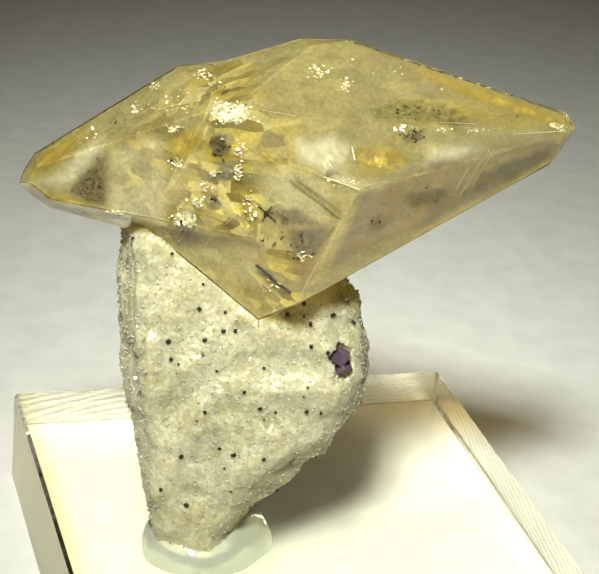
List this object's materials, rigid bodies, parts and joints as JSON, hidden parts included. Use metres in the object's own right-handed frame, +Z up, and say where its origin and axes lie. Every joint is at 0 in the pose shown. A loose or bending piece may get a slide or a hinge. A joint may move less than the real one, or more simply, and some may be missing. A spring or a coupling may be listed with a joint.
{
  "type": "calcite crystal specimen on an acrylic block",
  "caption": "Twinned pale yellow calcite crystal lying across the top of a druzy cream stone matrix, fixed upright with clear adhesive on a square clear acrylic block.",
  "frame": {"origin": "middle of the acrylic block's underside, on the surface it rests on", "axes": "+Z up, out of the block's top; X and Y along the block's sides, with the crystal's front turned towards -Y and its pointed tip towards +X"},
  "size_m": [0.0477, 0.0446, 0.0541],
  "materials": {
    "acrylic": "polished",
    "adhesive": "gloss",
    "calcite": "polished",
    "fluorite": "satin",
    "stone": "matte"
  },
  "bodies": {
    "root": {"acrylic_block": "acrylic", "adhesive_bead": "adhesive", "calcite_crystal": "calcite", "fluorite_grain": "fluorite", "stone_matrix": "stone"}
  },
  "joints": []
}
